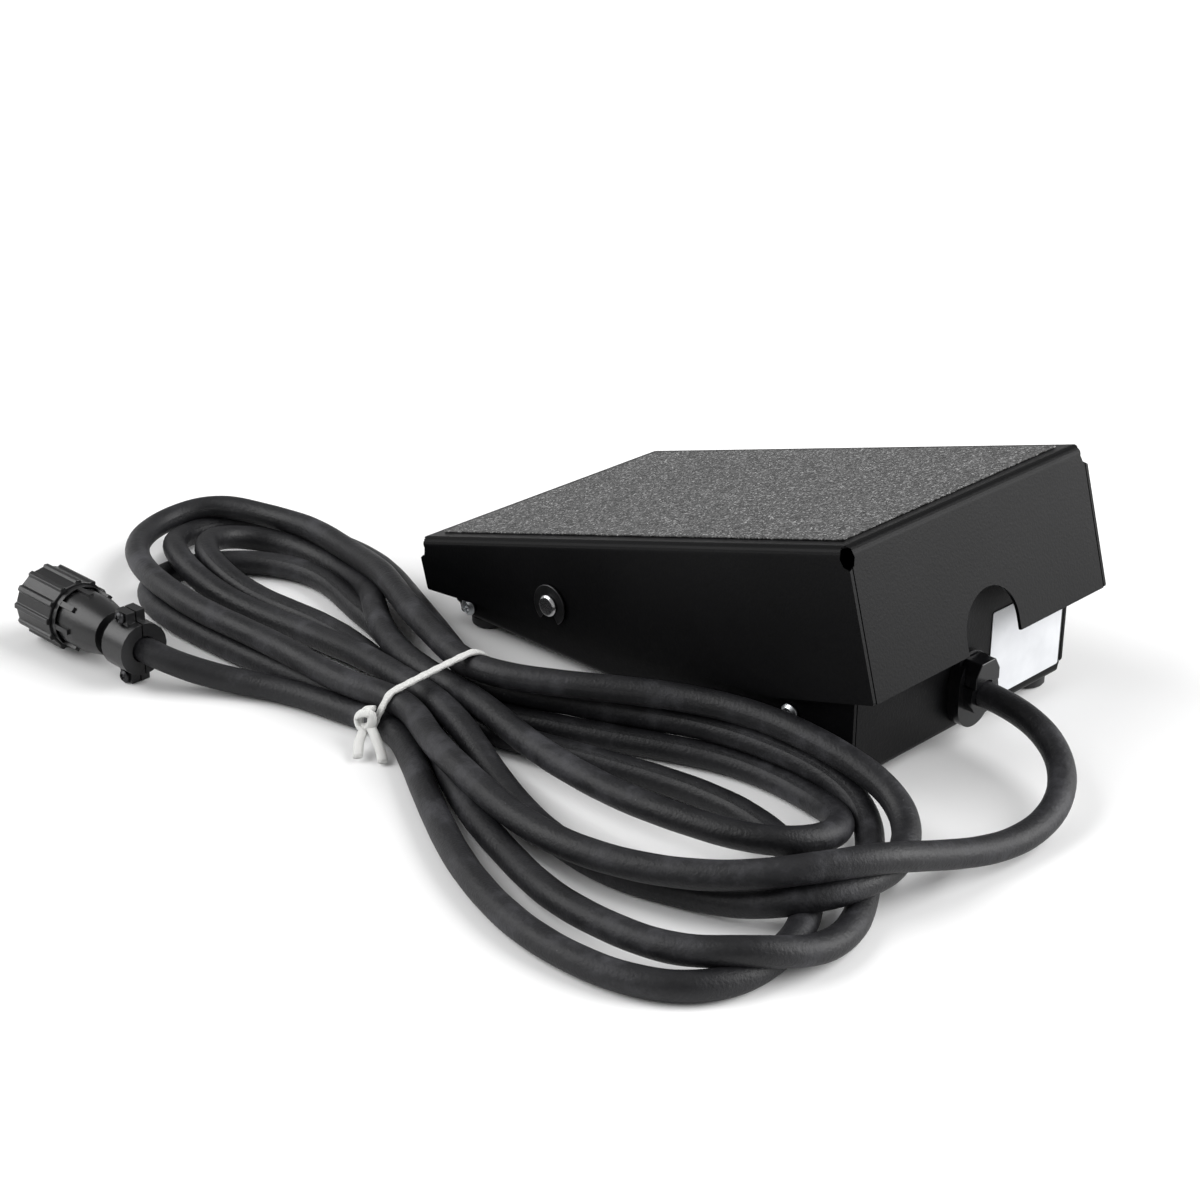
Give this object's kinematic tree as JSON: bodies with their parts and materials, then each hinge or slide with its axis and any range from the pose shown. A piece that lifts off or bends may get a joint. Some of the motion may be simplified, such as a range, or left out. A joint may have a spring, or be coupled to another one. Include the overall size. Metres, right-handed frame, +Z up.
{
  "type": "foot pedal control",
  "caption": "Industrial foot control: folded steel cover with a grit tread, hinged on a folded steel tray, sprung, with a tied cord that ends in a round multi-pin plug.",
  "frame": {"origin": "middle of the pedal's length and width, on the floor under its feet", "axes": "+X from the heel end to the toe end where the cord leaves, +Y to the far side, +Z up"},
  "size_m": [0.4822, 0.3263, 0.1042],
  "materials": {
    "powder_coat": "satin black powder coat, fine orange peel",
    "grit": "coarse dark grey anti-slip grit",
    "zinc": "bright zinc plate",
    "steel": "bright turned steel",
    "spring_steel": "blackened spring steel",
    "black_plastic": "black moulded nylon",
    "nylon": "natural nylon",
    "rubber": "black rubber",
    "cord_rubber": "matt black rubber cord jacket",
    "label": "blank white laminated label",
    "string": "white cotton string",
    "wire": "coloured wire insulation"
  },
  "bodies": {
    "base": {"base_tray": "powder_coat", "chassis": "zinc", "clamp_screw_lower": "spring_steel", "clamp_screw_upper": "spring_steel", "connector_body": "black_plastic", "connector_insert": "black_plastic", "cord_clamp": "black_plastic", "cord_hank_left": "cord_rubber", "cord_hank_right": "cord_rubber", "cord_lead": "cord_rubber", "cord_tail": "cord_rubber", "foot_heel_far": "rubber", "foot_heel_near": "rubber", "foot_screw_heel_far": "zinc", "foot_screw_heel_near": "zinc", "foot_screw_toe_far": "zinc", "foot_screw_toe_near": "zinc", "foot_toe_far": "rubber", "foot_toe_near": "rubber", "hank_tie": "string", "pivot_bush_far": "nylon", "pivot_bush_near": "nylon", "pivot_rod": "steel", "pot_body": "black_plastic", "pot_bracket": "zinc", "pot_leads": "wire", "pot_nut": "zinc", "rating_label": "label", "rest_bumper_far": "rubber", "rest_bumper_near": "rubber", "retaining_ring_far": "spring_steel", "retaining_ring_near": "spring_steel", "return_spring_far": "spring_steel", "return_spring_near": "spring_steel", "side_screw_heel_far": "zinc", "side_screw_heel_near": "zinc", "side_screw_toe_far": "zinc", "side_screw_toe_near": "zinc", "strain_relief_body": "black_plastic", "strain_relief_hood": "black_plastic", "switch_body": "black_plastic", "switch_bracket": "zinc", "switch_leads": "wire", "switch_screw_heel": "zinc", "switch_screw_toe": "zinc", "toe_bumper_far": "rubber", "toe_bumper_near": "rubber"},
    "cover": {"pedal_cover": "powder_coat", "grit_sheet": "grit", "sector_rack": "nylon", "sector_rivet_heel": "zinc", "sector_rivet_toe": "zinc", "spring_cup_near": "nylon", "spring_cup_far": "nylon", "switch_striker": "zinc"},
    "pot_rotor": {"pot_shaft": "steel", "pinion": "nylon"},
    "lever": {"switch_lever": "spring_steel"},
    "plunger": {"switch_plunger": "nylon"},
    "ring": {"coupling_ring": "black_plastic"}
  },
  "joints": [
    {"name": "pedal_pivot", "type": "hinge", "parent": "base", "child": "cover", "pos_m": [-0.04344, 0, 0.0323], "axis": [0, 1, 0], "range_deg": [0, 9], "stiffness_Nm_per_rad": 18, "springref_deg": -11.46, "deforming": ["return_spring_near", "return_spring_far"]},
    {"name": "pot_turn", "type": "hinge", "parent": "base", "child": "pot_rotor", "pos_m": [0.03209, 0, 0.026], "axis": [0, 1, 0], "range_deg": [-115, 0]},
    {"name": "lever_turn", "type": "hinge", "parent": "base", "child": "lever", "pos_m": [-0.03195, 0.025, 0.0294], "axis": [0, 1, 0], "range_deg": [0, 14]},
    {"name": "plunger_press", "type": "slide", "parent": "base", "child": "plunger", "axis": [0, 0, 1], "range_m": [-0.0016, 0]},
    {"name": "ring_turn", "type": "hinge", "parent": "base", "child": "ring", "pos_m": [-0.22795, -0.2025, 0.0163], "axis": [1, 0, 0], "range_deg": [0, 90]}
  ],
  "couplings": [
    {"joint": "pot_turn", "follows": "pedal_pivot", "ratio": -12.5},
    {"joint": "lever_turn", "follows": "pedal_pivot", "ratio": 1.5},
    {"joint": "plunger_press", "follows": "pedal_pivot", "m_per_rad": -0.009}
  ]
}
